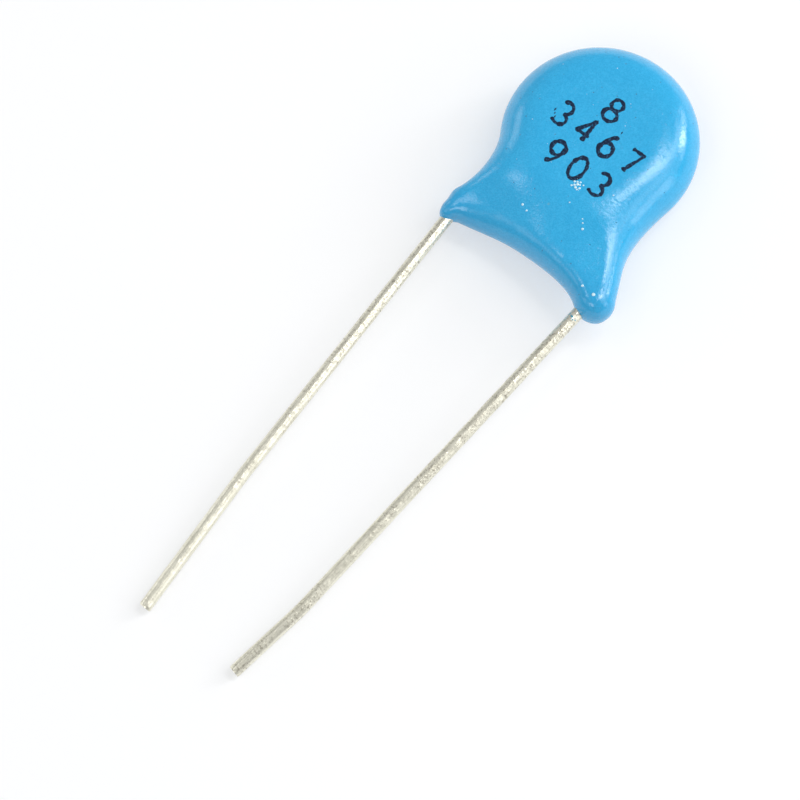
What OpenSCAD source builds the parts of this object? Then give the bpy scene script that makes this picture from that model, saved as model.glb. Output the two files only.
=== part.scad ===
// Ceramic disc capacitor with two radial wires, lying flat on its back face.
// The origin is the middle of the back face, the wires run out towards -Y and +Z is up.
// A fired ceramic disc has a silver film on each face and a wire soldered across each film. The wires
// cross over the disc, splay down to the two lobes of the dipped coat and leave it side by side.

/* [Ceramic disc] */
// Diameter of the ceramic disc
ceramic_d = 7.8; // [6.8:0.1:8.6]
// Thickness of the ceramic disc
ceramic_t = 1.2; // [0.8:0.05:2]
// Chamfer on both rims of the ceramic disc
ceramic_chamfer = 0.1; // [0.05:0.01:0.2]

/* [Silver films] */
// Thickness of each silver film
film_t = 0.03; // [0.02:0.01:0.06]
// Bare ceramic left round each film
film_margin = 0.4; // [0.25:0.05:0.6]

/* [Wires] */
// Diameter of the wire
wire_d = 0.6; // [0.5:0.05:0.7]
// Distance between the wires where they leave the coat
lead_spacing = 7.5; // [7:0.1:8]
// How far the middle of the pair sits to the right of the disc
lead_shift = 0.4; // [0:0.05:0.5]
// How far below the middle of the disc the wires leave the coat
exit_drop = 7.25; // [7:0.05:7.6]
// Length of the front wire outside the coat
front_lead_len = 22.3; // [12:0.1:30]
// Length of the back wire outside the coat
back_lead_len = 22.2; // [12:0.1:30]
// How far the front wire leans in towards the back one, in degrees
front_lean = 5.4; // [0:0.1:8]
// How far the back wire leans in towards the front one, in degrees
back_lean = -0.2; // [-2:0.1:6]
// Length of the last stretch of the front wire, past its slight kink
front_tip_len = 4; // [2:0.1:8]
// Length of the last stretch of the back wire, past its slight kink
back_tip_len = 7.5; // [2:0.1:8]
// How much further in the front wire turns at its kink, in degrees
front_kink = 4.2; // [-6:0.1:6]
// How much further in the back wire turns at its kink, in degrees
back_kink = 2; // [-6:0.1:6]
// Bend radius of the kinks
kink_r = 12; // [5:1:20]
// Bend radius of the wires inside the coat
bend_r = 0.9; // [0.6:0.05:1.2]
// How far the wires run on past the middle of the disc to their inner ends
wire_overrun = 2.4; // [1.6:0.1:2.6]
// How far above or below the middle plane the wires leave the coat
exit_lift = 0.25; // [0.1:0.05:0.3]

/* [Solder] */
// Solder left between each wire and its film
solder_bed = 0.03; // [0.02:0.01:0.06]
// Half width of the solder at its foot
solder_foot = 0.62; // [0.5:0.02:0.7]
// Thickness of the solder beside the wire, at its top
solder_lip = 0.06; // [0.04:0.01:0.1]
// How far the solder runs from the middle of the disc towards the lobe
solder_reach = 2.6; // [1.6:0.1:2.6]

/* [Coat] */
// Coat around the rim of the disc
rim_cover = 0.62; // [0.5:0.01:0.8]
// Coat over each wire where it crosses the disc
face_cover = 0.45; // [0.35:0.01:0.6]
// Width of the rounded shoulder between the rim and the flat face
shoulder = 2.4; // [2:0.1:2.6]
// Width over which the coat flows from the disc into its lobes
flow = 2.05; // [1.6:0.05:2.4]
// Radius of the lobe round the front wire
front_lobe_r = 0.93; // [0.85:0.01:1.1]
// Radius of the lobe round the back wire
back_lobe_r = 0.57; // [0.55:0.01:0.9]
// Radius of the thin end of the back lobe, which runs out along the wire
sleeve_r = 0.24; // [0.2:0.01:0.35]
// Half width of the front lobe where it leaves the middle of the disc
front_root_r = 2.33; // [1.9:0.01:2.6]
// Half width of the back lobe where it leaves the middle of the disc
back_root_r = 1.6; // [1.5:0.01:2.3]
// How far the web between the lobes reaches below the middle of the disc
web_drop = 6.43; // [6:0.01:6.6]
// Radius of the arch under the web
arch_r = 10.8; // [8:0.1:16]
// Half thickness of the coat out at the lobes, before their edges are rounded
lobe_half_t = 1.3; // [1.2:0.05:1.5]

/* [Hidden] */

wire_r = wire_d / 2;
// Height of each wire's axis over the middle plane where it crosses the disc
wire_rise = ceramic_t / 2 + film_t + solder_bed + wire_r;
coat_half_t = wire_rise + wire_r + face_cover;
body_r = ceramic_d / 2 + rim_cover;
film_r = ceramic_d / 2 - film_margin;
// Length of wire between its bend in the lobe and the end of the coat
front_setback = 1.25;
back_setback = 1.6;
// How far outside the rim of the ceramic a wire starts down towards the lobe
rim_clearance = 0.2;
// From the end of the coat on each wire to the middle of its lobe, and to the thin end of the back lobe
front_lobe_offset = [0.3, 0.76];
back_lobe_offset = [0.04, 1.28];
sleeve_offset = [-0.1, 0.3];
// An elbow is drawn this much thinner than the straight wire it joins, as a bend draws a wire in
bend_draw = 0.003;
// How far the elbow runs into the straight wire at each end, in degrees
elbow_lap = 1;
round_fn = 48;
// How far the web runs past the middle line of each lobe, and how far short of the wires' exits it stops
web_overlap = 0.12;
web_stop = 0.3;
// Widths over which the web flows into the lobes, the web's own corners round off and the sleeve joins on
web_blend = 0.5;
web_corner = 0.6;
sleeve_blend = 0.1;
// Points round the coat's outline, and rings of points on its rounded rim and on each face
outline_points = 150;
rim_rings = 7;
face_rings = 8;
rings = rim_rings + face_rings - 1;
// Share of the shoulder that the rim's rings take up, and how strongly the face's rings bunch towards it
rim_share = 0.6;
bunching = 1.3;
// Even turns at which the outline is measured, and halvings that find it in each
outline_steps = 900;
halvings = 24;

// The plan directions and points of a wire: side is 1 for the front wire and -1 for the back one
function lead_dir(side, lean) = [-side * sin(lean), -cos(lean)];
function exit_at(side) = [lead_shift + side * lead_spacing / 2, -exit_drop];
function lean_of(side) = side > 0 ? front_lean : back_lean;
function setback_of(side) = side > 0 ? front_setback : back_setback;
function bend_at(side) = exit_at(side) - setback_of(side) * lead_dir(side, lean_of(side));
function unit(v) = v / norm(v);
function splay_dir(side) = unit(bend_at(side));
function lift(p, z) = [p[0], p[1], z];
function mix(a, b, t) = a + (b - a) * t;
function ramp(t) = let (u = min(1, max(0, t))) u * u * (3 - 2 * u);

// ---- The two wires ----

function inner_path(side) = [
    lift(-wire_overrun * splay_dir(side), coat_half_t + side * wire_rise),
    lift((ceramic_d / 2 + rim_clearance) * splay_dir(side), coat_half_t + side * wire_rise),
    lift(bend_at(side), coat_half_t + side * exit_lift)
];

// Outside the coat the wire falls evenly until its tip lies on the ground, with a slight kink on the way
function outer_path(side) = let (
    whole = setback_of(side) + (side > 0 ? front_lead_len : back_lead_len),
    run = whole - (side > 0 ? front_tip_len : back_tip_len),
    lean = lean_of(side),
    kink = bend_at(side) + run * lead_dir(side, lean),
    tip = kink + (whole - run) * lead_dir(side, lean + (side > 0 ? front_kink : back_kink)),
    start_z = coat_half_t + side * exit_lift
) [lift(kink, mix(start_z, wire_r, run / whole)), lift(tip, wire_r)];

function wire_path(side) = concat(inner_path(side), outer_path(side));

function turn_at(p, i) = acos(unit(p[i] - p[i - 1]) * unit(p[i + 1] - p[i]));
function trim_at(p, r, i) = i == 0 || i == len(p) - 1 ? 0 : r[i] * tan(turn_at(p, i) / 2);

module straight(a, b) {
    d = b - a;
    translate(a) rotate([0, acos(d[2] / norm(d)), atan2(d[1], d[0])])
        cylinder(h = norm(d), r = wire_r, $fn = round_fn);
}

module elbow(p, i, r) {
    a = unit(p[i] - p[i - 1]);
    b = unit(p[i + 1] - p[i]);
    turn = turn_at(p, i);
    centre = p[i] + unit(b - a) * r / cos(turn / 2);
    x = unit(p[i] - a * r * tan(turn / 2) - centre);
    z = unit(cross(a, b));
    multmatrix([[x[0], a[0], z[0], centre[0]],
                [x[1], a[1], z[1], centre[1]],
                [x[2], a[2], z[2], centre[2]]])
        rotate([0, 0, -elbow_lap])
            rotate_extrude(angle = turn + 2 * elbow_lap, $fn = 96)
                translate([r, 0]) circle(r = wire_r - bend_draw, $fn = round_fn);
}

// A round wire along the points p, bent to the radius r[i] at each inner point where it turns
module wire(p, r) {
    for (i = [0 : len(p) - 2]) {
        d = unit(p[i + 1] - p[i]);
        straight(p[i] + d * trim_at(p, r, i), p[i + 1] - d * trim_at(p, r, i + 1));
    }
    for (i = [1 : len(p) - 2]) if (turn_at(p, i) > 0.05) elbow(p, i, r[i]);
}

module bent_wire(side) wire(wire_path(side), [0, bend_r, bend_r, kink_r, 0]);

module front_lead() color("gainsboro") bent_wire(1);
module back_lead() color("gainsboro") bent_wire(-1);

// ---- Disc, films and solder ----

module blank() {
    r = ceramic_d / 2;
    c = ceramic_chamfer;
    translate([0, 0, coat_half_t - ceramic_t / 2])
        rotate_extrude($fn = 96)
            polygon([[0, 0], [r - c, 0], [r, c], [r, ceramic_t - c], [r - c, ceramic_t], [0, ceramic_t]]);
}

module film(side)
    translate([0, 0, coat_half_t + (side > 0 ? ceramic_t / 2 : -ceramic_t / 2 - film_t)])
        cylinder(h = film_t, r = film_r, $fn = 96);

// The solder mound lies along the wire: it rounds off past the wire's inner end, and its top stops
// just over the widest part of the wire
module mound(side, root = 0) {
    top = wire_r + solder_lip;
    height = solder_bed + wire_r + solder_lip;
    spread = (solder_foot - top) / height;
    foot = solder_foot + spread * root;
    length = wire_overrun + solder_reach;
    d = splay_dir(side);
    translate([0, 0, coat_half_t]) mirror([0, 0, side > 0 ? 0 : 1])
        rotate([0, 0, atan2(d[1], d[0])]) translate([-wire_overrun, 0, ceramic_t / 2 + film_t - root]) {
            rotate([90, 0, 90]) linear_extrude(length)
                polygon([[-foot, 0], [foot, 0], [top, height + root], [-top, height + root]]);
            for (end = [0, 1]) translate([end * length, 0, 0]) rotate([0, 0, 90 - 180 * end])
                rotate_extrude(angle = 180, $fn = round_fn)
                    polygon([[0, 0], [foot, 0], [top, height + root], [0, height + root]]);
        }
}

module ceramic_disc() color("tan") blank();
module front_electrode() color("silver") film(1);
module back_electrode() color("silver") film(-1);

module front_solder() color("darkgray") difference() {
    mound(1);
    bent_wire(1);
}

module back_solder() color("darkgray") difference() {
    mound(-1);
    bent_wire(-1);
}

// ---- The dipped coat ----
// Its thickness follows from how far a point lies inside the outline. The outline is a disc and two
// tapered lobes with an arched web between them, all flowing into each other.

function smooth_max(a, b, k) = let (h = max(k - abs(a - b), 0) / k) max(a, b) + h * h * k / 4;
function smooth_min(a, b, k) = -smooth_max(-a, -b, k);

// The middle of each lobe's round end, and the end of the sleeve that the back lobe leaves on its wire
function lobe_end(side) = exit_at(side) + (side > 0 ? front_lobe_offset : back_lobe_offset);
function sleeve_end() = exit_at(-1) + sleeve_offset;

// How deep p lies inside a round-ended arm from a to b, whose half width runs from ra to rb
function arm_depth(p, a, b, ra, rb) = let (
    d = b - a,
    t = min(1, max(0, (p - a) * d / (d * d))),
    r = mix(ra, rb, t),
    away = norm(p - a - t * d)
) (r * r - away * away) / (2 * r);

function lobes_depth(p) = let (
    front = arm_depth(p, [0, 0], lobe_end(1), front_root_r, front_lobe_r),
    back = arm_depth(p, [0, 0], lobe_end(-1), back_root_r, back_lobe_r),
    sleeve = arm_depth(p, lobe_end(-1), sleeve_end(), back_lobe_r, sleeve_r)
) smooth_max(front, smooth_max(back, sleeve, sleeve_blend), web_blend);

// The web lies over the arch, between the lobes and short of the place where the wires leave the coat
function between(p, side) = let (d = unit(lobe_end(side)))
    side * (p[0] * d[1] - p[1] * d[0]) + web_overlap;
function web_depth(p) = let (
    arch = norm(p - [lead_shift, -web_drop - arch_r]) - arch_r,
    stop = p[1] + exit_drop - web_stop,
    sides = smooth_min(between(p, 1), between(p, -1), web_corner)
) smooth_min(smooth_min(arch, stop, web_stop), sides, web_corner);

function depth(p) = smooth_max(body_r - norm(p), smooth_max(web_depth(p), lobes_depth(p), web_blend), flow);

// The half thickness is full over the ceramic and eases to the thinner lobes
function full_half_t(p) = let (out = (norm(p) - body_r + shoulder / 2) / (exit_drop - body_r + shoulder / 2))
    mix(coat_half_t, lobe_half_t, ramp(out));
function half_t(p) = let (u = min(1, max(0, depth(p)) / shoulder))
    full_half_t(p) * sqrt(1 - pow(1 - u, 3));

// The middle plane of the coat rises with the front wire and drops with the back one
function drift(p) = exit_lift * ramp((norm(p) - body_r) / (exit_drop - body_r))
    * max(-1, min(1, (p[0] - lead_shift) / (lead_spacing / 4)));

// Point of the outline in direction a from the middle of the disc, found by halving
function rim_along(d, near, far, steps) = let (m = (near + far) / 2)
    steps == 0 ? m * d
    : depth(m * d) > 0 ? rim_along(d, m, far, steps - 1)
    : rim_along(d, near, m, steps - 1);
function rim_at(a) = rim_along([cos(a), sin(a)], body_r / 2, 2 * exit_drop, halvings);

// Length of the outline up to each of many even turns, from which its points are spaced evenly
function outline_run(p) = [
    for (k = 0, s = 0; k < len(p); s = s + norm(p[min(k + 1, outline_steps)] - p[k]), k = k + 1)
        [s, 360 * k / outline_steps]
];

// Rings bunch up at the rim, where the surface turns down, and spread out over the face
function ring_at(rim, j) = let (edge = rim_share * min(shoulder / norm(rim), 0.5))
    j <= rim_rings ? rim * (1 - edge * (1 - cos(90 * j / rim_rings)))
    : rim * (1 - edge) * (1 - pow((j - rim_rings) / face_rings, bunching));

// Index of point i on ring j of the front (side 0) or the back (side 1), which share the rim, ring 0
function at(side, j, i) = (j == 0 ? 0 : outline_points * (1 + side * rings + j - 1)) + i % outline_points;

// The triangles between ring j and the next one in
function band(side, j) = [for (i = [0 : outline_points - 1]) let (
    a = at(side, j, i),
    b = at(side, j + 1, i),
    c = at(side, j + 1, i + 1),
    d = at(side, j, i + 1)
) each side == 0 ? [[a, b, c], [a, c, d]] : [[a, c, b], [a, d, c]]];

// The triangles between the innermost ring and the point in its middle
function cap(side) = [for (i = [0 : outline_points - 1]) let (
    a = at(side, rings, i),
    b = at(side, rings, i + 1),
    middle = at(1, rings + 1, 0) + side
) side == 0 ? [a, middle, b] : [a, b, middle]];

module coat() {
    run = outline_run([for (k = [0 : outline_steps]) rim_at(360 * k / outline_steps)]);
    whole = run[outline_steps][0];
    rim = [for (i = [0 : outline_points - 1]) rim_at(lookup(whole * i / outline_points, run))];
    plan = [for (j = [1 : rings]) for (p = rim) ring_at(p, j)];
    polyhedron(
        [
            for (p = rim) lift(p, coat_half_t + drift(p)),
            for (p = plan) lift(p, coat_half_t + drift(p) + half_t(p)),
            for (p = plan) lift(p, coat_half_t + drift(p) - half_t(p)),
            [0, 0, 2 * coat_half_t],
            [0, 0, 0]
        ],
        [for (side = [0, 1]) each [for (j = [0 : rings - 1]) each band(side, j), each cap(side)]]
    );
}

module epoxy_coating() color("deepskyblue") difference() {
    coat();
    blank();
    translate([0, 0, coat_half_t - ceramic_t / 2 - film_t])
        cylinder(h = ceramic_t + 2 * film_t, r = film_r, $fn = 96);
    mound(1, film_t / 2);
    mound(-1, film_t / 2);
    bent_wire(1);
    bent_wire(-1);
}

epoxy_coating();
ceramic_disc();
front_electrode();
back_electrode();
front_solder();
back_solder();
front_lead();
back_lead();
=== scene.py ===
import math

import bpy
import numpy as np
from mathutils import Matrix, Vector, geometry


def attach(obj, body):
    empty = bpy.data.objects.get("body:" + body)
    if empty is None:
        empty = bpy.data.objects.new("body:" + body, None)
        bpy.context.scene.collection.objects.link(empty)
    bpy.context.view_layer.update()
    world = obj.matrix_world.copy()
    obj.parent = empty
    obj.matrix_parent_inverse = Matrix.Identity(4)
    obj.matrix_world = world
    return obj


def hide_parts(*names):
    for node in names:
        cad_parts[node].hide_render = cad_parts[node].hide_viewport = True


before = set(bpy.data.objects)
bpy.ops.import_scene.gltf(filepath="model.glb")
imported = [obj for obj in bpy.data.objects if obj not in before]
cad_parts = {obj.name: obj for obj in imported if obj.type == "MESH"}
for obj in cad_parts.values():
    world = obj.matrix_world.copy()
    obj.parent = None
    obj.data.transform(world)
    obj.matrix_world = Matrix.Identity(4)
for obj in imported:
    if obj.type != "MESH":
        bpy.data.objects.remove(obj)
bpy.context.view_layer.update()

mm = 0.001
scene = bpy.context.scene


class Value:  # one output of a node, which can be added and multiplied as a number is
    def __init__(self, tree, socket=None):
        self.tree, self.socket = tree, socket

    # a new node in the same tree, as one of its outputs
    def node(self, kind, settings=None, inputs=None, output=0):
        made = self.tree.nodes.new(kind)
        for name, setting in (settings or {}).items():
            setattr(made, name, setting)
        for key, given in (inputs or {}).items():
            for one in given if isinstance(given, list) else [given]:
                if isinstance(one, Value):
                    self.tree.links.new(one.socket, made.inputs[key])
                else:
                    made.inputs[key].default_value = one
        return Value(self.tree, made.outputs[output]) if len(made.outputs) else None

    def other(self, output):  # another output of the same node
        return Value(self.tree, self.socket.node.outputs[output])

    def maths(self, operation, *values, clamp=False):
        settings = {"operation": operation, "use_clamp": clamp}
        return self.node("ShaderNodeMath", settings, dict(enumerate(values)))

    def vector(self, operation, *rest, output=0):
        inputs = dict(enumerate((self, *rest)))
        return self.node("ShaderNodeVectorMath", {"operation": operation}, inputs, output)

    def scaled(self, factor):
        return self.node("ShaderNodeVectorMath", {"operation": "SCALE"}, {0: self, "Scale": factor})

    def __add__(self, other):
        return self.maths("ADD", self, other)

    __radd__ = __add__

    def __sub__(self, other):
        return self.maths("SUBTRACT", self, other)

    def __rsub__(self, other):
        return self.maths("SUBTRACT", other, self)

    def __mul__(self, other):
        return self.maths("MULTIPLY", self, other)

    __rmul__ = __mul__

    def __truediv__(self, other):
        return self.maths("DIVIDE", self, other)

    def __rtruediv__(self, other):
        return self.maths("DIVIDE", other, self)

    def __pow__(self, other):
        return self.maths("POWER", self, other)

    def __gt__(self, other):
        return self.maths("GREATER_THAN", self, other)

    def clamped(self):
        return self.maths("ADD", self, 0, clamp=True)

    def eased(self, start, end):  # 0 before start and 1 after end, with a soft step between
        share = ((self - start) / (end - start)).clamped()
        return share * share * (3 - 2 * share)

    def part(self, axis):  # one number of a place: 0 for x, 1 for y and 2 for z
        return self.node("ShaderNodeSeparateXYZ", None, {0: self}, axis)

    def upwards(self):  # a shift straight up by this much
        return self.node("ShaderNodeCombineXYZ", None, {2: self})

    def noise(self, size, detail, output=0):  # noise over this place, in patches of about this size
        inputs = {"Vector": self, "Scale": 1 / size, "Detail": detail}
        return self.node("ShaderNodeTexNoise", None, inputs, output)

    def wandering(self, size, detail, amount):  # a shift that varies with place, and never up or down
        drift = self.noise(size, detail, "Color").vector("SUBTRACT", (0.5, 0.5, 0.5))
        return drift.scaled(amount).vector("MULTIPLY", (1, 1, 0))

    def colours(self, first, second):  # first where self is 0 and second where it is 1
        return self.node("ShaderNodeMix", {"data_type": "RGBA"}, {0: self, 6: first, 7: second}, 2)

    def laidOver(self, colour, layer):  # the layer's own colour over another, where this pattern is strong
        return (self.eased(*layer["band"]) * layer["share"]).colours(colour, layer["colour"])

    def painted(self, label):  # a number stored on the mesh, as a material reads it
        return self.node("ShaderNodeAttribute", {"attribute_name": label}, None, "Fac")

    def stored(self, label, kind="FLOAT"):  # a number or place stored on the mesh, as a tree reads it
        return self.node("GeometryNodeInputNamedAttribute", {"data_type": kind}, {"Name": label})

    def store(self, label, value, kind="FLOAT", domain="POINT"):
        return self.node("GeometryNodeStoreNamedAttribute", {"data_type": kind, "domain": domain},
                         {"Geometry": self, "Name": label, "Value": value})

    def moved(self, shift):
        return self.node("GeometryNodeSetPosition", None, {"Geometry": self, "Offset": shift})

    def smooth(self, where=True):
        return self.node("GeometryNodeSetShadeSmooth", None, {0: self, "Shade Smooth": where})


# a geometry tree with a named input for each value: the tree, the geometry it starts from and its inputs
def newTree(name, values):
    tree = bpy.data.node_groups.new(name, "GeometryNodeTree")
    tree.interface.new_socket(name="Geometry", in_out="INPUT", socket_type="NodeSocketGeometry")
    kinds = {float: "NodeSocketFloat", int: "NodeSocketInt", bpy.types.Object: "NodeSocketObject"}
    for label, value in values.items():
        tree.interface.new_socket(name=label, in_out="INPUT", socket_type=kinds[type(value)])
    tree.interface.new_socket(name="Geometry", in_out="OUTPUT", socket_type="NodeSocketGeometry")
    start = Value(tree, tree.nodes.new("NodeGroupInput").outputs[0])
    return tree, start, {label: start.other(label) for label in values}


def endTree(result, material):
    whole = result.node("GeometryNodeRealizeInstances", None, {"Geometry": result})
    whole = whole.node("GeometryNodeSetMaterial", None, {"Geometry": whole, "Material": material})
    whole.node("NodeGroupOutput", None, {0: whole})


def grown(name, mesh, tree, values):  # the piece that the tree makes of this mesh, as a plain mesh
    piece = bpy.data.objects.new(name, mesh)
    scene.collection.objects.link(piece)
    modifier = piece.modifiers.new(name, "NODES")
    modifier.node_group = tree
    inputs = {item.name: item.identifier for item in tree.interface.items_tree if item.in_out == "INPUT"}
    for label, value in values.items():
        modifier[inputs[label]] = value
    graph = bpy.context.evaluated_depsgraph_get()
    shaped = piece.evaluated_get(graph)
    made = bpy.data.meshes.new_from_object(shaped, preserve_all_data_layers=True, depsgraph=graph)
    piece.modifiers.remove(modifier)
    piece.data = made
    made.name = name
    print(name, len(made.polygons), "faces")
    return piece


def newMaterial(name):  # an empty material, and the object's own place in mm to make patterns on
    material = bpy.data.materials.new(name)
    material.use_nodes = True
    material.node_tree.nodes.clear()
    place = Value(material.node_tree).node("ShaderNodeTexCoord", None, None, "Object")
    return material, place.scaled(1 / mm)


def endMaterial(start, **looks):
    names = {"colour": "Base Color", "roughness": "Roughness", "metallic": "Metallic", "normal": "Normal",
             "ior": "IOR"}
    inputs = {names[look]: given for look, given in looks.items()}
    shader = start.node("ShaderNodeBsdfPrincipled", None, inputs)
    start.node("ShaderNodeOutputMaterial", None, {"Surface": shader})


def bumped(height, depth, normal=None):  # depth in mm between height 0 and 1
    inputs = {"Height": height, "Strength": 1.0, "Distance": depth * mm}
    if normal:
        inputs["Normal"] = normal
    return height.node("ShaderNodeBump", None, inputs)


# the blue dipped coat: a disc that flows down into two lobes with an arched web between them
coat = {  # sizes in mm; a band is where something starts and where it is complete
    "bodyRadius": 4.52,  # disc with its coat
    "halfThickness": 1.71,
    "shoulder": 2.4,  # width of the rounded edge round the flat face
    "edgeFullness": 3.0,  # how soon the rounded edge reaches its height
    "flow": 2.05,  # how softly the disc runs into its lobes and the web
    "frontLobe": (4.45, -6.49),
    "frontLobeRadius": 0.926,
    "frontRoot": 2.33,  # half width of the lobe where it leaves the middle
    "backLobe": (-3.31, -5.97),
    "backLobeRadius": 0.57,
    "backRoot": 1.565,
    "sleeveEnd": (-3.45, -6.95),  # the coat runs out thinly along the back wire
    "sleeveRadius": 0.24,
    "sleeveBlend": 0.1,
    "webDrop": 6.43,  # the top of the arch, below the middle of the disc
    "archRadius": 10.8,
    "archMiddle": 0.42,
    "webOverlap": 0.12,  # how far the web runs into each lobe past its middle line
    "webStop": 0.3,  # the web ends this far above the wires' exits
    "webBlend": 0.49,  # how softly the web runs into the lobes
    "webCorner": 0.6,  # how round its corners are
    "backLobeHalfThickness": 0.86,
    "frontLobeHalfThickness": 1.02,
    "lobesMeet": (-0.5, 1.0),  # from here to here across, the back lobe's thickness turns into the front's
    "lobeShoulder": 0.95,  # the edge is rounded more sharply along the lobes
    "lobeShoulderBand": (3.2, 6.4),  # away from the middle of the disc
    "lobesBand": (2.2, 5.6),  # the disc's shape gives way to the lobes', away from its middle
    "lobesBelow": (0.5, 2.5),  # and only below it
    "softening": 0.25,  # radius of the ring that a lobe's depth is averaged over
    "softeningPoints": 8,
    "softeningBand": (0, 0.3),  # in from the rim
    "exitDrop": 7.25,  # the wires leave the coat this far below the middle of the disc
    "exitLift": 0.25,  # and this far above and below the middle plane
    "leadShift": 0.4,
    "leadSpacing": 7.5,
    "rimBetween": (3.0, 11.0),  # the outline lies between these distances from the middle
    "rimTries": 4001,
    "outlinePoints": 640,
    "edgeRings": 18,
    "edgeWidth": 1.0,
    "faceSpacing": 0.11,
    "faceAcross": (-6, 6),  # the box that holds the outline
    "faceUp": (-8, 6),
    "waveHeight": 0.035,
    "waveSize": 2.2,
    "blisterSeed": 7,
    "blistersPerSquareMm": 0.6,
    "blisterRadius": (0.01, 0.03),
    "blisterFlatness": 0.55,
    "blisterGlint": (-0.3, 0.7),  # painted glint on the small blisters: a random one between these, and none below 0
    # painted glint on the large blisters
    "largeGlint": 0.95,
    # blisters that stand out, as (x, y, radius): a cluster on the face and a few towards the lobe
    "blisters": (
        (0.8, -2.9, 0.07), (0.61, -2.86, 0.055), (0.85, -2.74, 0.05), (0.81, -3.07, 0.065),
        (0.98, -3.0, 0.055), (0.61, -3.1, 0.05), (1.04, -2.78, 0.04), (0.63, -2.67, 0.04),
        (0.7, -3.0, 0.06), (0.9, -2.86, 0.045), (0.73, -2.8, 0.05), (0.92, -3.12, 0.045),
        (-0.67, -5.03, 0.06), (-0.36, -5.15, 0.045), (2.2, -4.42, 0.06), (1.93, -4.06, 0.035),
        (2.05, -4.2, 0.04), (1.02, -3.8, 0.035), (2.39, -2.35, 0.035), (3.75, -6.52, 0.06),
        (4.4, -6.58, 0.085),
    ),
    "lightBlue": (0.024, 0.445, 0.79, 1),
    "deepBlue": (0.017, 0.395, 0.735, 1),
    # painted glint: the blisters are made this pale, standing in for the light that glints off their tops
    "paintedGlintBlue": (0.62, 0.86, 0.95, 1),
    "cloudSize": 1.6,  # the pigment drifts slowly from light to deep
    "mottleSize": 0.24,
    "mottle": {"band": (0.35, 0.75), "share": 0.4, "colour": (0.045, 0.495, 0.85, 1)},
    "grainSize": 0.07,
    "grain": {"band": (0.35, 0.7), "share": 0.6, "colour": (0.004, 0.325, 0.65, 1)},
    # painted shade: the blue deepens towards the arch and the lobes, where shade falls; the band is below the
    # middle of the disc
    "paintedShadeBelow": {"band": (5.4, 7.0), "share": 0.4, "colour": (0.012, 0.275, 0.555, 1)},
    "pinholeSpacing": 0.16,
    "pinholeBand": (0.10, 0.26),  # in parts of the spacing
    "pinholeOver": 0.965,  # a pinhole is left where a random number between 0 and 1 is over this
    "pinholeShare": 0.75,
    "pinholeBlue": (0.010, 0.100, 0.250, 1),
    "stainPlace": (0.29, -4.39, 3.34),  # a small greenish spot above the arch
    "stainBand": (0.05, 0.13),
    "stainShare": 0.45,
    "stainColour": (0.150, 0.250, 0.170, 1),
    "peelSize": 0.18,
    "peelDepth": 0.009,
    "grainDepth": 0.0055,
    "pinholeDepth": 0.012,
    "roughness": (0.11, 0.2),  # least and most
    "ior": 1.65,
}


def smoothMax(first, second, width):  # the larger of the two, with a soft change where they are this close
    overlap = np.maximum(width - np.abs(first - second), 0) / width
    return np.maximum(first, second) + overlap * overlap * width / 4


def smoothMin(first, second, width):
    return -smoothMax(-first, -second, width)


def easedBand(values, start, end):  # 0 before start and 1 after end, with a soft step between
    share = np.clip((values - start) / (end - start), 0, 1)
    return share * share * (3 - 2 * share)


def armDepth(points, start, end, startRadius, endRadius):  # depth inside a round-ended, tapered arm
    start, end = np.array(start, float), np.array(end, float)
    along = end - start
    share = np.clip((points - start) @ along / (along @ along), 0, 1)
    radius = startRadius + (endRadius - startRadius) * share
    away = np.linalg.norm(points - start - share[..., None] * along, axis=-1)
    return (radius * radius - away * away) / (2 * radius)


def coatDepth(points):  # how deep points of the plan lie inside the outline
    x, y = points[..., 0], points[..., 1]

    def beside(lobe, side):  # depth past a lobe's middle line, towards the other lobe
        heading = np.array(lobe) / np.linalg.norm(lobe)
        return side * (x * heading[1] - y * heading[0]) + coat["webOverlap"]

    front = armDepth(points, (0, 0), coat["frontLobe"], coat["frontRoot"], coat["frontLobeRadius"])
    back = armDepth(points, (0, 0), coat["backLobe"], coat["backRoot"], coat["backLobeRadius"])
    sleeve = armDepth(points, coat["backLobe"], coat["sleeveEnd"],
                      coat["backLobeRadius"], coat["sleeveRadius"])
    lobes = smoothMax(front, smoothMax(back, sleeve, coat["sleeveBlend"]), coat["webBlend"])
    arch = np.hypot(x - coat["archMiddle"], y + coat["webDrop"] + coat["archRadius"]) - coat["archRadius"]
    sides = smoothMin(beside(coat["frontLobe"], 1), beside(coat["backLobe"], -1), coat["webCorner"])
    reach = y + coat["exitDrop"] - coat["webStop"]
    web = smoothMin(smoothMin(arch, reach, coat["webStop"]), sides, coat["webCorner"])
    disc = coat["bodyRadius"] - np.linalg.norm(points, axis=-1)
    return smoothMax(disc, smoothMax(web, lobes, coat["webBlend"]), coat["flow"])


def coatRim(count):  # points evenly spaced along the outline
    angles = np.linspace(0, 2 * np.pi, coat["rimTries"])
    for _ in range(2):  # once to measure the outline, and once more at even steps along it
        heading = np.stack([np.cos(angles), np.sin(angles)], 1)
        near, far = (np.full(len(heading), distance) for distance in coat["rimBetween"])
        for _ in range(30):  # halving what is left each time
            middle = (near + far) / 2
            isIn = coatDepth(middle[:, None] * heading) > 0
            near, far = np.where(isIn, middle, near), np.where(isIn, far, middle)
        rim = near[:, None] * heading
        run = np.concatenate([[0], np.cumsum(np.linalg.norm(np.diff(rim, axis=0), axis=1))])
        angles = np.interp(np.linspace(0, run[-1], count + 1), run, angles)
    return rim[:-1]


def fromRim(points, rim):  # how far each point is from the outline
    return np.linalg.norm(points[:, None] - rim[None], axis=2).min(1)


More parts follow.
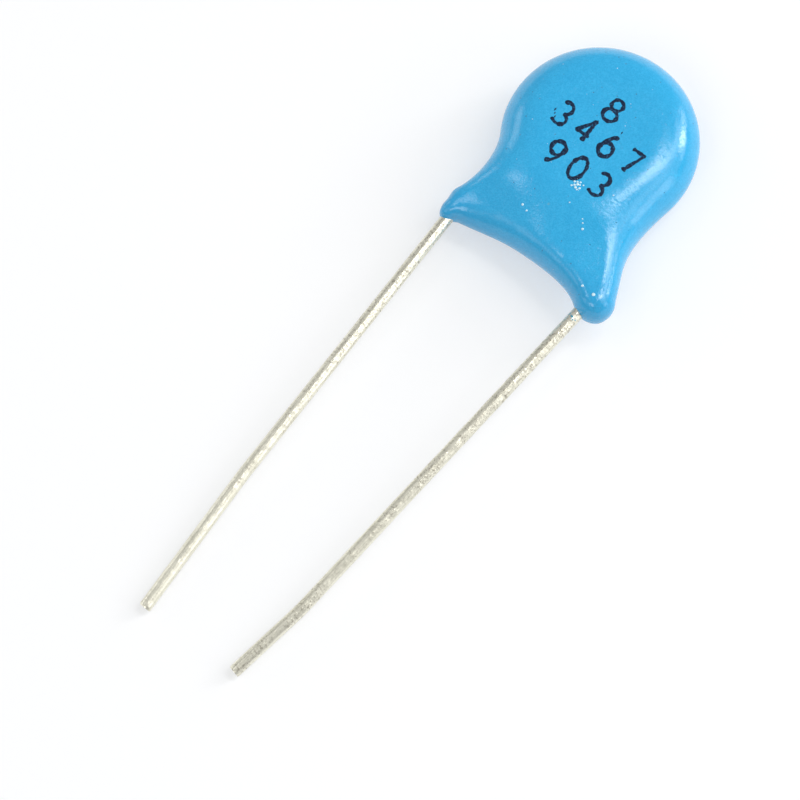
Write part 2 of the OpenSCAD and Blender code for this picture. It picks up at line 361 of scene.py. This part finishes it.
# depth as the rounded edge follows it, which along the lobes is the true distance from the rim
def roundedDepth(points, rim):
    inside, fromMiddle = fromRim(points, rim), np.linalg.norm(points, axis=1)
    soft = 0  # averaged over a small ring, so that no crease is left along the middle of a lobe
    for angle in np.arange(coat["softeningPoints"]) * 2 * math.pi / coat["softeningPoints"]:
        near = points + coat["softening"] * np.array([math.cos(angle), math.sin(angle)])
        soft = soft + np.sign(coatDepth(near)) * fromRim(near, rim) / coat["softeningPoints"]
    inside = inside + (soft - inside) * easedBand(inside, *coat["softeningBand"])
    sharper = easedBand(fromMiddle, *coat["lobeShoulderBand"])
    shoulder = coat["shoulder"] + (coat["lobeShoulder"] - coat["shoulder"]) * sharper
    share = easedBand(fromMiddle, *coat["lobesBand"]) * easedBand(-points[:, 1], *coat["lobesBelow"])
    return np.maximum(coatDepth(points) * (1 - share) + inside * coat["shoulder"] / shoulder * share, 0)


def coatPlan(rim):  # the points inside the outline: rings that follow it, and a grid of even triangles
    step = 1e-4
    slope = np.stack([coatDepth(rim + [step, 0]) - coatDepth(rim - [step, 0]),
                      coatDepth(rim + [0, step]) - coatDepth(rim - [0, step])], 1)
    inward = slope / np.linalg.norm(slope, axis=1)[:, None]
    plan = [rim]
    for ring in range(1, coat["edgeRings"] + 1):  # rings bunch up at the edge, where the surface turns down
        offset = coat["edgeWidth"] * (1 - math.cos(math.pi / 2 * ring / coat["edgeRings"]))
        points = rim + inward * offset
        plan.append(points[fromRim(points, rim) > offset * 0.98])  # where the rings don't cross each other
    spacing = coat["faceSpacing"]
    across = np.arange(*coat["faceAcross"], spacing)
    up = np.arange(*coat["faceUp"], spacing * math.sqrt(3) / 2)
    grid = np.array([(x + spacing / 2 * (row % 2), y) for row, y in enumerate(up) for x in across])
    grid = grid[coatDepth(grid) > coat["edgeWidth"] / 2]
    plan.append(grid[fromRim(grid, rim) > coat["edgeWidth"] + spacing * 0.6])
    return np.concatenate(plan)


# the coat pressed flat: a front and a back sheet that share the outline, and the places of the large blisters
def coatSheet():
    rim = coatRim(coat["outlinePoints"])
    flat = [Vector(point) for point in coatPlan(rim)]
    outline = list(range(len(rim)))
    insideOnly, closest = 1, 1e-7
    points, _, faces, *_ = geometry.delaunay_2d_cdt(flat, [], [outline], insideOnly, closest)
    points = np.array([tuple(point) for point in points])
    onRim = fromRim(points, rim) < 1e-5
    depth = np.where(onRim, 0, roundedDepth(points, rim))
    spots = np.array(coat["blisters"])
    places = np.concatenate([points, points[~onRim], spots[:, :2]])
    backIndex = np.where(onRim, np.arange(len(points)), len(points) + np.cumsum(~onRim) - 1)
    frontFaces = [tuple(face) for face in faces]
    backFaces = [tuple(int(backIndex[corner]) for corner in reversed(face)) for face in faces]
    mesh = bpy.data.meshes.new("coat")
    mesh.from_pydata([(x * mm, y * mm, 0) for x, y in places], [], frontFaces + backFaces)
    numbers = {
        "side": np.concatenate([~onRim * 1.0, -np.ones((~onRim).sum()), np.ones(len(spots))]),
        "depth": np.concatenate([depth, depth[~onRim], roundedDepth(spots[:, :2], rim)]) * mm,
        "spot": np.concatenate([np.zeros(len(points) + (~onRim).sum()), spots[:, 2]]) * mm,
    }
    for label, values in numbers.items():
        mesh.attributes.new(label, "FLOAT", "POINT").data.foreach_set("value", values.astype(np.float32))
    return mesh


def coatMaterial():
    material, place = newMaterial("dippedCoat")
    cloud = place.noise(coat["cloudSize"], 3)
    mottle = place.noise(coat["mottleSize"], 3)
    grain = place.noise(coat["grainSize"], 2)
    peel = place.noise(coat["peelSize"], 2)
    flecks = place.node("ShaderNodeTexVoronoi", None,
                        {"Vector": place, "Scale": 1 / coat["pinholeSpacing"], "Randomness": 1.0})
    chance = place.node("ShaderNodeSeparateColor", None, {0: flecks.other("Color")})
    pinhole = (1 - flecks.eased(*coat["pinholeBand"])) * (chance > coat["pinholeOver"])
    stain = 1 - place.vector("DISTANCE", coat["stainPlace"], output=1).eased(*coat["stainBand"])
    blue = cloud.colours(coat["deepBlue"], coat["lightBlue"])
    blue = mottle.laidOver(blue, coat["mottle"])
    blue = grain.laidOver(blue, coat["grain"])
    # painted shade: the blue deepens below the middle of the disc, towards the arch and the lobes
    blue = (place.part(1) * -1).laidOver(blue, coat["paintedShadeBelow"])
    blue = (pinhole * coat["pinholeShare"]).colours(blue, coat["pinholeBlue"])
    blue = (stain * coat["stainShare"]).colours(blue, coat["stainColour"])
    # painted glint: the blisters are coloured pale where light would glint off them
    blue = place.painted("bubble").colours(blue, coat["paintedGlintBlue"])
    normal = bumped(peel, coat["peelDepth"])
    normal = bumped(grain, coat["grainDepth"], normal)
    normal = bumped(1 - pinhole, coat["pinholeDepth"], normal)
    least, most = coat["roughness"]
    endMaterial(place, colour=blue, roughness=least + (most - least) * cloud, normal=normal, ior=coat["ior"])
    return material


def coatTree(material, values):
    tree, sheet, size = newTree("dippedCoat", values)
    place = sheet.node("GeometryNodeInputPosition")
    across, fromMiddle = place.part(0), place.vector("LENGTH", output=1)
    body, backLobe = size["Half Thickness"], size["Back Lobe Half Thickness"]

    # half the thickness eases from the disc's to the lobes', and rounds off towards the rim
    toFront = across.eased(size["Lobes Meet From"], size["Lobes Meet To"])
    lobe = backLobe + (size["Front Lobe Half Thickness"] - backLobe) * toFront
    toLobes = fromMiddle.eased(size["Body Radius"] - size["Shoulder"] / 2, size["Exit Drop"])
    full = body + (lobe - body) * toLobes
    inwards = (sheet.stored("depth") / size["Shoulder"]).clamped()
    half = full * (1 - (1 - inwards) ** size["Edge Fullness"]) ** 0.5

    # the middle plane rises with the front wire and drops with the back one
    towards = (across - size["Lead Shift"]) / (size["Lead Spacing"] / 4)
    towards = towards.maths("MINIMUM", 1, towards)
    towards = towards.maths("MAXIMUM", -1, towards)
    lifted = size["Exit Lift"] * fromMiddle.eased(size["Body Radius"], size["Exit Drop"])
    middle = body + lifted * towards
    raised = sheet.moved((middle + sheet.stored("side") * half).upwards())

    # dipping leaves the surface gently uneven: it only sinks in, so the coat keeps its size
    dip = place.noise(size["Wave Size"], 1) * size["Wave Height"] * inwards * -1
    outward = sheet.node("GeometryNodeInputNormal")
    raised = raised.moved(outward.scaled(dip))
    spots = sheet.node("GeometryNodeSeparateGeometry", {"domain": "POINT"},
                       {"Geometry": raised, "Selection": sheet.stored("spot") > 0})
    skin = spots.other("Inverted")

    # small blisters at random
    drop = sheet.node("GeometryNodeMeshIcoSphere", None, {"Radius": 1.0, "Subdivisions": 2}).smooth()
    drop = sheet.node("GeometryNodeTransform", None,
                      {"Geometry": drop, "Scale": (1, 1, coat["blisterFlatness"])})
    scattered = sheet.node("GeometryNodeDistributePointsOnFaces", None,
                           {"Mesh": skin, "Density": size["Blister Density"], "Seed": size["Seed"]})
    radius = sheet.node("FunctionNodeRandomValue", {"data_type": "FLOAT"},
                        {2: size["Least Blister"], 3: size["Largest Blister"], "Seed": size["Seed"]}, 1)
    small = sheet.node("GeometryNodeInstanceOnPoints", None,
                       {"Points": scattered, "Instance": drop, "Rotation": scattered.other("Rotation"),
                        "Scale": radius})
    least, most = coat["blisterGlint"]
    # painted glint: how pale each small blister is made
    paintedGlintShare = sheet.node("FunctionNodeRandomValue", {"data_type": "FLOAT"},
                      {2: least, 3: most, "Seed": size["Seed"] + 1}, 1)
    small = small.store("bubble", paintedGlintShare.clamped(), domain="INSTANCE")

    # and the large ones in their places
    facing = sheet.node("GeometryNodeSampleNearestSurface", {"data_type": "FLOAT_VECTOR"},
                        {"Mesh": skin, "Value": outward})
    turn = sheet.node("FunctionNodeAlignRotationToVector", {"axis": "Z"}, {"Vector": facing})
    large = sheet.node("GeometryNodeInstanceOnPoints", None,
                       {"Points": sheet.node("GeometryNodeMeshToPoints", None, {"Mesh": spots}),
                        "Instance": drop, "Rotation": turn, "Scale": sheet.stored("spot")})
    # painted glint: the large blisters are made paler still
    large = large.store("bubble", coat["largeGlint"], domain="INSTANCE")
    endTree(sheet.node("GeometryNodeJoinGeometry", None, {0: [small, large, skin]}).smooth(), material)
    return tree


coatSizes = {
    "Body Radius": coat["bodyRadius"] * mm,
    "Half Thickness": coat["halfThickness"] * mm,
    "Back Lobe Half Thickness": coat["backLobeHalfThickness"] * mm,
    "Front Lobe Half Thickness": coat["frontLobeHalfThickness"] * mm,
    "Lobes Meet From": coat["lobesMeet"][0] * mm,
    "Lobes Meet To": coat["lobesMeet"][1] * mm,
    "Shoulder": coat["shoulder"] * mm,
    "Edge Fullness": coat["edgeFullness"],
    "Exit Drop": coat["exitDrop"] * mm,
    "Exit Lift": coat["exitLift"] * mm,
    "Lead Shift": coat["leadShift"] * mm,
    "Lead Spacing": coat["leadSpacing"] * mm,
    "Wave Height": coat["waveHeight"] * mm,
    "Wave Size": coat["waveSize"] * mm,
    "Blister Density": coat["blistersPerSquareMm"] / mm ** 2,
    "Least Blister": coat["blisterRadius"][0] * mm,
    "Largest Blister": coat["blisterRadius"][1] * mm,
    "Seed": coat["blisterSeed"],
}
coatPiece = grown("coat", coatSheet(), coatTree(coatMaterial(), coatSizes), coatSizes)
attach(coatPiece, "root")
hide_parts("epoxy_coating")


# the two tinned wires: soldered across the disc, bent down to the lobes, then straight out to the cut ends
wires = {  # sizes in mm, angles in degrees
    "radius": 0.3,
    "discRise": 0.96,  # height of each wire's axis over the middle plane where it crosses the disc
    "discReach": 4.1,  # the wires start down to the lobes this far from the middle of the disc
    "overrun": 2.4,  # how far they run on past the middle
    "bendRadius": 0.9,
    "kinkRadius": 12,
    # the setback is from the bend to where the wire leaves the coat; lean and kink are towards the other wire
    "front": {"side": 1, "length": 22.3, "lean": 5.4, "setback": 1.25, "tipLength": 4.0, "kink": 4.2},
    "back": {"side": -1, "length": 22.2, "lean": -0.2, "setback": 1.6, "tipLength": 7.5, "kink": 2.0},
    "bendPoints": 16,
    "ringSpacing": 0.07,
    "ringPoints": 28,
    "lumpHeight": 0.012,  # the tin runs into slight lumps
    "lumpSize": 0.35,
    "sway": 0.012,
    "swaySize": 6,
    "cutSlope": 0.16,
    "cutFacing": (0.6, 0.2, 0.75),  # the cut slopes off this way
    "cutRounding": 0.09,
    "cutNarrowing": 0.1,  # the cut leaves the end a little slimmer
    "capFacing": 0.85,  # faces that look along the wire more than this are the cut's
    "tin": (0.91, 0.89, 0.76, 1),
    "dullTin": (0.74, 0.72, 0.60, 1),
    "streakSize": 0.5,
    "streakStretch": 0.35,  # less than 1 draws the streaks out along the wire
    "streaksAround": 9,
    "streakBand": (0.35, 0.7),
    "oxide": (0.40, 0.37, 0.30, 1),
    "oxideSize": 0.11,
    "oxideBand": (0.48, 0.7),
    "oxideShare": 0.85,
    # the tin is rough near the coat and in patches further out, and smoother between them
    "roughUpTo": (14, 24),  # from here to here along each wire, from its inner end
    "patchSize": 1.8,
    "patchBand": (0.46, 0.62),
    "leastRough": 0.3,
    # a little of the coat is left on the front wire just outside its lobe
    "smear": (0.08, 0.36, 0.50, 1),
    "smearShift": (-0.06, -0.45),
    "smearReach": (0.1, 0.5),
    "smearSize": 0.12,
    "smearBand": (0.42, 0.5),
    "smearCover": 0.9,  # how much of the metal it hides
    "rippleSize": 0.55,
    "rippleDepth": 0.022,
    "oxideDepth": 0.011,
    "streakDepth": 0.005,
    "dullSize": 0.9,
    "roughness": (0.2, 0.15, 0.1),  # everywhere, more where it is dull, and more in the streaks
}


def wirePath(wire):  # the corners of a wire, and the radius it is bent to at each
    side = wire["side"]

    def heading(lean):
        return np.array([-side * math.sin(math.radians(lean)), -math.cos(math.radians(lean))])

    leaves = np.array([coat["leadShift"] + side * coat["leadSpacing"] / 2, -coat["exitDrop"]])
    bend = leaves - wire["setback"] * heading(wire["lean"])
    splay = bend / np.linalg.norm(bend)
    whole = wire["setback"] + wire["length"]
    run = whole - wire["tipLength"]
    kink = bend + run * heading(wire["lean"])
    tip = kink + wire["tipLength"] * heading(wire["lean"] + wire["kink"])
    onDisc = coat["halfThickness"] + side * wires["discRise"]
    start = coat["halfThickness"] + side * coat["exitLift"]
    kinkHeight = start + (wires["radius"] - start) * run / whole
    corners = [
        (*(-wires["overrun"] * splay), onDisc),
        (*(wires["discReach"] * splay), onDisc),
        (*bend, start),
        (*kink, kinkHeight),
        (*tip, wires["radius"]),
    ]
    return corners, [0, wires["bendRadius"], wires["bendRadius"], wires["kinkRadius"], 0]


def lineMesh(name, lines, label=None, values=None):  # loose lines, with a number stored at each corner
    corners = [corner for line in lines for corner in line]
    starts = np.cumsum([0] + [len(line) for line in lines])
    edges = [(start + i, start + i + 1) for start, line in zip(starts, lines) for i in range(len(line) - 1)]
    mesh = bpy.data.meshes.new(name)
    mesh.from_pydata([Vector(corner) * mm for corner in corners], edges, [])
    if label:
        numbers = np.array(values, np.float32) * mm
        mesh.attributes.new(label, "FLOAT", "POINT").data.foreach_set("value", numbers)
    return mesh


def wireMaterial():
    material, place = newMaterial("tinnedWire")
    along, around = place.painted("along"), place.painted("around")
    drawn = place.node("ShaderNodeCombineXYZ", None,
                       {0: along * (wires["streakStretch"] / mm), 1: around * wires["streaksAround"]})
    streaks = drawn.noise(wires["streakSize"], 3)
    oxide = place.noise(wires["oxideSize"], 3)
    ripples = place.noise(wires["rippleSize"], 2)
    dull = place.noise(wires["dullSize"], 2)

    near = 1 - along.eased(*(reach * mm for reach in wires["roughUpTo"]))
    patches = place.noise(wires["patchSize"], 2).eased(*wires["patchBand"])
    rough = wires["leastRough"] + (1 - wires["leastRough"]) * (near + patches).clamped()
    tin = streaks.eased(*wires["streakBand"]).colours(wires["tin"], wires["dullTin"])
    tin = (oxide.eased(*wires["oxideBand"]) * rough * wires["oxideShare"]).colours(tin, wires["oxide"])

    outside = (coat["leadShift"] + coat["leadSpacing"] / 2 + wires["smearShift"][0],
               -coat["exitDrop"] + wires["smearShift"][1],
               coat["halfThickness"] + coat["exitLift"])
    besideCoat = 1 - place.vector("DISTANCE", outside, output=1).eased(*wires["smearReach"])
    smear = (place.noise(wires["smearSize"], 3) * besideCoat).eased(*wires["smearBand"])
    tin = smear.colours(tin, wires["smear"])

    normal = bumped(ripples, wires["rippleDepth"])
    normal = bumped(oxide * rough, wires["oxideDepth"], normal)
    normal = bumped(streaks, wires["streakDepth"], normal)
    least, whereDull, inStreaks = wires["roughness"]
    endMaterial(place, colour=tin, metallic=1 - wires["smearCover"] * smear,
                roughness=least + whereDull * dull + inStreaks * streaks, normal=normal)
    return material


def wireTree(material, values):
    tree, line, size = newTree("tinnedWire", values)
    path = line.node("GeometryNodeMeshToCurve", None, {0: line})
    path = line.node("GeometryNodeFilletCurve", {"mode": "POLY"},
                     {"Curve": path, "Count": size["Bend Points"], "Radius": line.stored("bend"),
                      "Limit Radius": True})
    path = line.node("GeometryNodeResampleCurve", {"mode": "LENGTH"},
                     {"Curve": path, "Length": size["Ring Spacing"]})
    along = line.node("GeometryNodeSplineParameter", None, None, "Length")
    left = line.node("GeometryNodeSplineLength", None, None, "Length") - along
    place = line.node("GeometryNodeInputPosition")
    path = path.moved(place.wandering(size["Sway Size"], 1, size["Sway"]))
    path = path.store("along", along)
    path = path.store("left", left)
    path = path.store("middle", place, "FLOAT_VECTOR")
    path = path.store("heading", line.node("GeometryNodeInputTangent"), "FLOAT_VECTOR")
    girth = 1 - size["Cut Narrowing"] * (1 - left.eased(0, size["Cut Rounding"]))
    ring = line.node("GeometryNodeCurvePrimitiveCircle", None,
                     {"Resolution": size["Ring Points"], "Radius": size["Radius"]})
    ring = ring.store("around", line.node("GeometryNodeSplineParameter", None, None, "Factor"))
    wire = line.node("GeometryNodeCurveToMesh", None,
                     {"Curve": path, "Profile Curve": ring, "Scale": girth, "Fill Caps": True})
    outward = line.node("GeometryNodeInputNormal")
    lump = (place.noise(size["Lump Size"], 2) - 1) * size["Lump Height"]
    wire = wire.moved(outward.scaled(lump))

    # the side cutters leave the end face slanting
    heading = line.stored("heading", "FLOAT_VECTOR")
    slope = place.vector("SUBTRACT", line.stored("middle", "FLOAT_VECTOR"))
    slope = slope.vector("DOT_PRODUCT", wires["cutFacing"], output=1) * size["Cut Slope"]
    atCut = 1 - line.stored("left").eased(0, 4 * size["Cut Rounding"])
    wire = wire.moved(heading.scaled(slope * atCut))
    facing = outward.vector("DOT_PRODUCT", heading, output=1)
    cap = facing.maths("ABSOLUTE", facing) > size["Cap Facing"]
    endTree(wire.smooth(1 - cap), material)
    return tree


wireSizes = {
    "Radius": wires["radius"] * mm,
    "Bend Points": wires["bendPoints"],
    "Ring Spacing": wires["ringSpacing"] * mm,
    "Ring Points": wires["ringPoints"],
    "Lump Height": wires["lumpHeight"] * mm,
    "Lump Size": wires["lumpSize"] * mm,
    "Sway": wires["sway"] * mm,
    "Sway Size": wires["swaySize"] * mm,
    "Cut Slope": wires["cutSlope"],
    "Cut Rounding": wires["cutRounding"] * mm,
    "Cut Narrowing": wires["cutNarrowing"],
    "Cap Facing": wires["capFacing"],
}
tinnedTree = wireTree(wireMaterial(), wireSizes)
for name in ("front", "back"):
    corners, bends = wirePath(wires[name])
    piece = grown(name + "Wire", lineMesh(name + "Wire", [corners], "bend", bends), tinnedTree, wireSizes)
    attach(piece, "root")
    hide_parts(name + "_lead")


# what the coat hides: the ceramic disc, its two fired silver films and the solder along the wires
inner = {  # grain sizes and depths in mm
    "firedCeramic": {
        "nodes": ("ceramic_disc",),
        "bright": (0.58, 0.43, 0.28, 1),
        "dark": (0.42, 0.30, 0.19, 1),
        "grainSize": 0.06,
        "grainDepth": 0.006,
        "metallic": 0.0,
        "roughness": 0.6,
    },
    "firedSilver": {
        "nodes": ("front_electrode", "back_electrode"),
        "bright": (0.80, 0.79, 0.75, 1),
        "dark": (0.58, 0.55, 0.48, 1),
        "grainSize": 0.09,
        "grainDepth": 0.004,
        "metallic": 0.9,
        "roughness": 0.35,
    },
    "softSolder": {
        "nodes": ("front_solder", "back_solder"),
        "bright": (0.60, 0.60, 0.58, 1),
        "dark": (0.40, 0.40, 0.39, 1),
        "grainSize": 0.2,
        "grainDepth": 0.03,
        "metallic": 0.95,
        "roughness": 0.3,
    },
}


def innerMaterial(name, finish):  # clouds eight grains wide, with the grain itself over them
    material, place = newMaterial(name)
    cloud = place.noise(finish["grainSize"] * 8, 3)
    grain = place.noise(finish["grainSize"], 2)
    shade = cloud.eased(0.3, 0.7) * 0.5 + grain.eased(0.4, 0.8) * 0.5
    shade = shade.colours(finish["bright"], finish["dark"])
    endMaterial(place, colour=shade, metallic=finish["metallic"], roughness=finish["roughness"] + 0.2 * grain,
                normal=bumped(grain, finish["grainDepth"]))
    return material


for name, finish in inner.items():
    material = innerMaterial(name, finish)
    for node in finish["nodes"]:
        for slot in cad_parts[node].material_slots:
            slot.material = material
print("inner pieces have their materials")


# the marking: plain digits in dark ink, three rows printed square to the wires
marking = {  # sizes in mm
    # digits and the middle of each row
    "rows": (("8", (-0.03, 0.97)), ("3467", (0.17, -0.53)), ("903", (0.34, -2.25))),
    "turn": -1.6,  # degrees
    "height": 1.17,
    "width": 0.68,
    "pitch": 1.27,
    "stroke": 0.19,
    "inkThickness": 0.012,
    "step": 0.03,
    "bowlPoints": 25,
    "ringPoints": 10,
    "wander": 0.05,
    "wanderSize": 0.25,
    "raggedness": 0.45,
    "swellSize": 0.3,
    "swellBand": (0.35, 0.65),
    "raggedSize": 0.09,
    "pooling": 0.22,  # how much wider a stroke is at its ends
    "poolingBand": (0.05, 0.25),  # from its end
    # stray drops of ink
    "specks": ((-2.12, -0.7), (-2.21, -0.55), (-2.02, -0.84), (-1.96, -1.0), (0.86, 0.32)),
    "speckLength": 0.09,
    "dropHeight": 10,  # the ink is dropped onto the coat from here
    "ink": (0.002, 0.011, 0.040, 1),
    "wornInk": (0.025, 0.14, 0.28, 1),
    "wornSize": 0.1,
    "wornBand": (0.48, 0.74),
    "wornShare": 0.6,
    "thinInk": (0.030, 0.24, 0.45, 1),
    "thinBand": (0, 0.75),  # in parts of the ink's depth
    "thinShare": 0.6,
    "roughness": 0.5,
    "wornRoughness": 0.2,
    "ior": 1.3,
}

# the strokes of each digit in a box one wide and one high; a bowl is (middle, radii, start, end) in degrees
digits = {
    "0": [("bowl", (0.5, 0.5), (0.5, 0.5), 90, 472)],
    "3": [("bowl", (0.46, 0.74), (0.42, 0.26), 150, -90),
          ("bowl", (0.46, 0.24), (0.5, 0.24), 90, -150)],
    "4": [("line", (0.72, 0), (0.72, 1), (0, 0.3), (1, 0.3))],
    "6": [("bowl", (0.5, 0.3), (0.48, 0.3), 180, 565),
          ("line", (0.02, 0.3), (0.16, 0.62), (0.42, 0.88), (0.78, 1))],
    "7": [("line", (0, 1), (0.95, 1), (0.38, 0))],
    "8": [("bowl", (0.5, 0.76), (0.4, 0.24), -90, 300),
          ("bowl", (0.5, 0.26), (0.5, 0.26), 90, 480)],
    "9": [("bowl", (0.5, 0.7), (0.48, 0.3), 0, 385),
          ("line", (0.98, 0.7), (0.84, 0.38), (0.58, 0.12), (0.22, 0))],
}


def strokePoints(kind, parts):
    if kind == "line":
        return parts
    (x, y), (across, up), start, end = parts
    turns = np.radians(np.linspace(start, end, marking["bowlPoints"]))
    return [(x + across * math.cos(angle), y + up * math.sin(angle)) for angle in turns]


def markLines():
    lines = []
    turn = math.radians(marking["turn"])
    for text, middle in marking["rows"]:
        for place, digit in enumerate(text):
            shift = (place - (len(text) - 1) / 2) * marking["pitch"]
            for kind, *parts in digits[digit]:
                line = []
                for x, y in strokePoints(kind, parts):
                    x, y = (x - 0.5) * marking["width"] + shift, (y - 0.5) * marking["height"]
                    line.append((middle[0] + x * math.cos(turn) - y * math.sin(turn),
                                 middle[1] + x * math.sin(turn) + y * math.cos(turn), 0))
                lines.append(line)
    return lines + [[(x, y, 0), (x + marking["speckLength"], y, 0)] for x, y in marking["specks"]]


def inkMaterial():
    material, place = newMaterial("markingInk")
    worn = place.noise(marking["wornSize"], 3).eased(*marking["wornBand"]) * marking["wornShare"]
    thin = 1 - place.painted("inkDepth").eased(*marking["thinBand"])
    ink = worn.colours(marking["ink"], marking["wornInk"])
    ink = (thin * marking["thinShare"]).colours(ink, marking["thinInk"])
    endMaterial(place, colour=ink, roughness=marking["roughness"] + marking["wornRoughness"] * worn,
                ior=marking["ior"])
    return material


def inkTree(material, values):
    tree, line, size = newTree("printedStroke", values)
    halfStroke = size["Stroke"] / 2
    path = line.node("GeometryNodeMeshToCurve", None, {0: line})
    path = line.node("GeometryNodeResampleCurve", {"mode": "LENGTH"}, {"Curve": path, "Length": size["Step"]})
    place = line.node("GeometryNodeInputPosition")
    path = path.moved(place.wandering(size["Wander Size"], 2, size["Wander"]))
    along = line.node("GeometryNodeSplineParameter", None, None, "Length")
    left = line.node("GeometryNodeSplineLength", None, None, "Length") - along
    toEnd = along.maths("MINIMUM", along, left)
    rounded = (1 - (1 - (toEnd / halfStroke).clamped()) ** 2) ** 0.5  # the stroke's ends are round
    swell = place.noise(size["Swell Size"], 1).eased(*marking["swellBand"])
    swell = swell + place.noise(size["Ragged Size"], 3) - 1
    pooled = 1 + size["Pooling"] * (1 - toEnd.eased(size["Pooling From"], size["Pooling To"]))
    uneven = (1 + size["Raggedness"] * swell) * pooled
    ring = line.node("GeometryNodeCurvePrimitiveCircle", None,
                     {"Resolution": size["Ring Points"], "Radius": halfStroke})
    ink = line.node("GeometryNodeCurveToMesh", None,
                    {"Curve": path, "Profile Curve": ring, "Scale": rounded * uneven, "Fill Caps": True})
    ink = ink.store("inkDepth", place.part(2) / halfStroke)  # 0 at a stroke's edges

    # each point drops onto the coat, and only a thin film of its height is left
    surface = line.node("GeometryNodeObjectInfo", {"transform_space": "ORIGINAL"},
                        {"Object": size["Surface"]}, "Geometry")
    above = place.vector("MULTIPLY", (1, 1, 0)).vector("ADD", size["Drop Height"].upwards())
    landed = line.node("GeometryNodeRaycast", None,
                       {"Target Geometry": surface, "Source Position": above, "Ray Direction": (0, 0, -1)},
                       "Hit Position")
    film = place.vector("MULTIPLY", (size["Thickness"] / halfStroke).upwards())
    ink = line.node("GeometryNodeSetPosition", None,
                    {"Geometry": ink, "Position": landed.vector("ADD", film)})
    endTree(ink.smooth(), material)
    return tree


inkSizes = {
    "Stroke": marking["stroke"] * mm,
    "Thickness": marking["inkThickness"] * mm,
    "Step": marking["step"] * mm,
    "Ring Points": marking["ringPoints"],
    "Wander": marking["wander"] * mm,
    "Wander Size": marking["wanderSize"] * mm,
    "Raggedness": marking["raggedness"],
    "Swell Size": marking["swellSize"] * mm,
    "Ragged Size": marking["raggedSize"] * mm,
    "Pooling": marking["pooling"],
    "Pooling From": marking["poolingBand"][0] * mm,
    "Pooling To": marking["poolingBand"][1] * mm,
    "Drop Height": marking["dropHeight"] * mm,
    "Surface": coatPiece,
}
inkPiece = grown("marking", lineMesh("marking", markLines()), inkTree(inkMaterial(), inkSizes), inkSizes)
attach(inkPiece, "root")


# the camera, high over the wires and to their right
view = {  # degrees and mm
    "azimuth": 37.0,
    "elevation": 70.0,
    "distance": 215,
    "aim": (0.104, -15.14, 1.0),
    "lens": 217.7,  # focal length
    "clip": (0.01, 5),  # metres
}
turn, tilt = math.radians(view["azimuth"]), math.radians(view["elevation"])
toCamera = Vector((math.sin(turn) * math.cos(tilt), -math.cos(turn) * math.cos(tilt), math.sin(tilt)))
lens = bpy.data.cameras.new("camera")
lens.lens = view["lens"]
lens.clip_start, lens.clip_end = view["clip"]
camera = bpy.data.objects.new("camera", lens)
camera.location = (Vector(view["aim"]) + toCamera * view["distance"]) * mm
camera.rotation_euler = toCamera.to_track_quat("Z", "Y").to_euler()
scene.collection.objects.link(camera)
scene.camera = camera
print("camera is set")


# a sheet of white paper to lie on
floor = {
    "halfSize": 1.5,  # metres
    "colour": (0.98, 0.98, 0.985, 1),
    "white": (0.97, 0.985, 1, 1),
    "glow": 0.5,  # how much of the paper is seen as plain white
}
floorMesh = bpy.data.meshes.new("floor")
edge = floor["halfSize"]
corners = [(-edge, -edge, 0), (edge, -edge, 0), (edge, edge, 0), (-edge, edge, 0)]
floorMesh.from_pydata(corners, [], [(0, 1, 2, 3)])
floorPiece = bpy.data.objects.new("floor", floorMesh)
scene.collection.objects.link(floorPiece)
paper, start = newMaterial("paper")
rays = start.node("ShaderNodeLightPath")
seen = (rays + rays.other("Is Glossy Ray") + rays.other("Is Transmission Ray")).clamped() * floor["glow"]
matte = start.node("ShaderNodeBsdfDiffuse", None, {"Color": floor["colour"]})
white = start.node("ShaderNodeEmission", None, {"Color": floor["white"], "Strength": 1.0})
mixed = start.node("ShaderNodeMixShader", None, {0: seen, 1: matte, 2: white})
start.node("ShaderNodeOutputMaterial", None, {"Surface": mixed})
floorMesh.materials.append(paper)
print("floor is laid")


# lamps by direction from the part: azimuth clockwise from straight up in the view, elevation, then width and
# height in degrees as seen from the part, and brightness, where 1 is white
lamps = {
    "strip": (71, 25, 11, 20, 11.5),
    "stripEnd": (58, 16, 9, 20, 3.1),
    "stripLow": (83, 18, 8, 10, 2.7),
    "stripTop": (60, 42, 12, 16, 1.9),
    "upper": (76, 61, 13, 13, 5.4),
    "upperLow": (75, 48, 14, 12, 2.8),
    "top": (57, 71, 13, 9, 8.8),
    "rightHigh": (107, 49, 20, 20, 1.2),
    "right": (100, 32, 30, 32, 0.6),
    "side": (114, 18, 16, 26, 2.0),
    "leftEdge": (-54, 20, 9, 22, 1.8),
    "leftLow": (-76, 16, 22, 22, 1.3),
    "left": (-107, 35, 18, 22, 0.9),
    "leftHigh": (-69, 63, 15, 8, 2.9),
    "fill": (-150, 48, 24, 24, 2.7),
}
room = {
    "lampDistance": 0.3,  # metres
    "colour": (1, 1, 1, 1),
    "brightness": 0.45,
}


def lampWidth(degrees):  # of a lamp that looks this wide from the part
    return 2 * room["lampDistance"] * math.tan(math.radians(degrees / 2))


for name, (azimuth, elevation, width, height, brightness) in lamps.items():
    around, above = math.radians(azimuth) - turn, math.radians(elevation)
    level = math.cos(above)
    towards = Vector((math.sin(around) * level, math.cos(around) * level, math.sin(above)))
    light = bpy.data.lights.new(name, "AREA")
    light.shape = "RECTANGLE"
    light.size, light.size_y = lampWidth(width), lampWidth(height)
    light.energy = brightness * math.pi * light.size * light.size_y
    lamp = bpy.data.objects.new(name, light)
    lamp.location = towards * room["lampDistance"]
    lamp.rotation_euler = towards.to_track_quat("Z", "Y").to_euler()
    scene.collection.objects.link(lamp)

world = bpy.data.worlds.new("room")
scene.world = world
world.use_nodes = True
background = world.node_tree.nodes["Background"]
background.inputs["Color"].default_value = room["colour"]
background.inputs["Strength"].default_value = room["brightness"]
scene.view_settings.view_transform = "Standard"
print(len(lamps), "lamps are lit")
